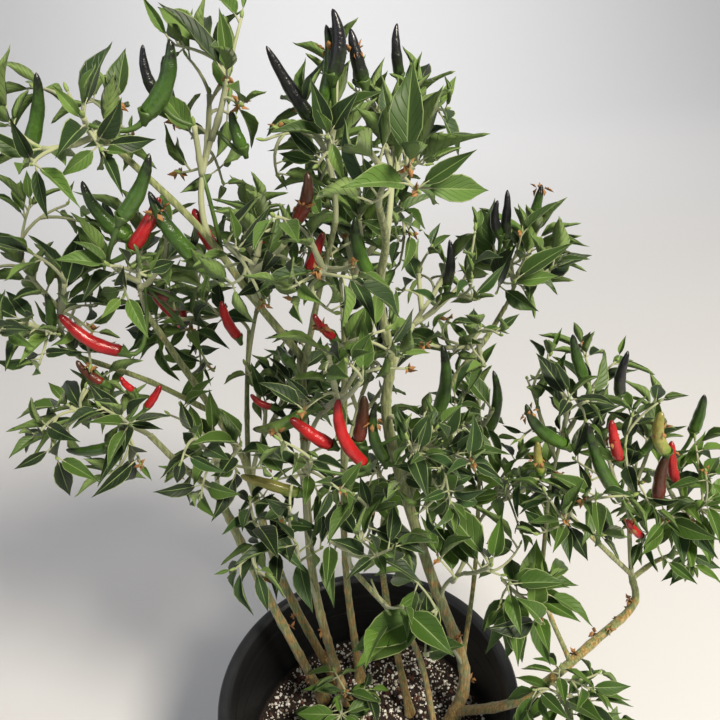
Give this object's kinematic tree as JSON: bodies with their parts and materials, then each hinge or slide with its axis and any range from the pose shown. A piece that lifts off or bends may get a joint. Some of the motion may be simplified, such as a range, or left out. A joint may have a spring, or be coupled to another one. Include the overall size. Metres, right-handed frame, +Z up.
{
  "type": "chilli pepper plant",
  "caption": "Bushy fruiting chilli pepper plant with slender leaning stems and leafy masses that carry slim pods, in a round black nursery pot",
  "frame": {"origin": "centre of the pot's flat underside", "axes": "+Z up; -Y towards the plant's front, the side seen in the picture; +X to the right seen from the front"},
  "size_m": [0.5995, 0.3399, 0.9048],
  "materials": {
    "pot_plastic": "dusty satin black moulded plastic",
    "potting_mix": "moist dark potting mix of bark, peat and white perlite",
    "bark": "olive green half-woody stem, tan and corky low down",
    "foliage": "dark green softly hairy leaves on green twigs with glossy pods"
  },
  "bodies": {
    "root": {"pot": "pot_plastic", "potting_mix": "potting_mix", "stem_left": "bark", "bough_left_low": "bark", "stem_rear_left": "bark", "bough_left": "bark", "bough_far_left": "bark", "bough_rear_left": "bark", "stem_centre": "bark", "bough_upper_left": "bark", "bough_front": "bark", "stem_back": "bark", "stem_main": "bark", "bough_crown": "bark", "bough_right": "bark", "stem_rear": "bark", "stem_front": "bark", "bough_slim": "bark", "bough_low": "bark", "bough_low_left": "bark", "bough_low_right": "bark", "shoot_low": "bark", "leaves_top_left": "foliage", "leaves_high_left": "foliage", "leaves_high_middle": "foliage", "leaves_crown": "foliage", "leaves_high_back": "foliage", "leaves_upper_left": "foliage", "leaves_centre": "foliage", "leaves_inner": "foliage", "leaves_left": "foliage", "leaves_far_left": "foliage", "leaves_rear_left": "foliage", "leaves_rear_high": "foliage", "leaves_right_high": "foliage", "leaves_right_top": "foliage", "leaves_right_inner": "foliage", "leaves_front": "foliage", "leaves_middle_left": "foliage", "leaves_inner_left": "foliage", "leaves_low_left": "foliage", "leaves_front_middle": "foliage", "leaves_middle": "foliage", "leaves_rear_low": "foliage", "leaves_rear_middle": "foliage", "leaves_rear_top": "foliage", "leaves_right_middle": "foliage", "leaves_right_low": "foliage", "leaves_low_front_left": "foliage", "leaves_low_front": "foliage", "leaves_low_right": "foliage", "leaves_low_inner": "foliage", "leaves_low_shoot": "foliage", "leaves_shoot_top": "foliage", "leaves_outer_left": "foliage", "leaves_outer_middle": "foliage", "leaves_outer_right": "foliage", "leaves_outer_low": "foliage", "leaves_basal": "foliage"}
  },
  "joints": []
}
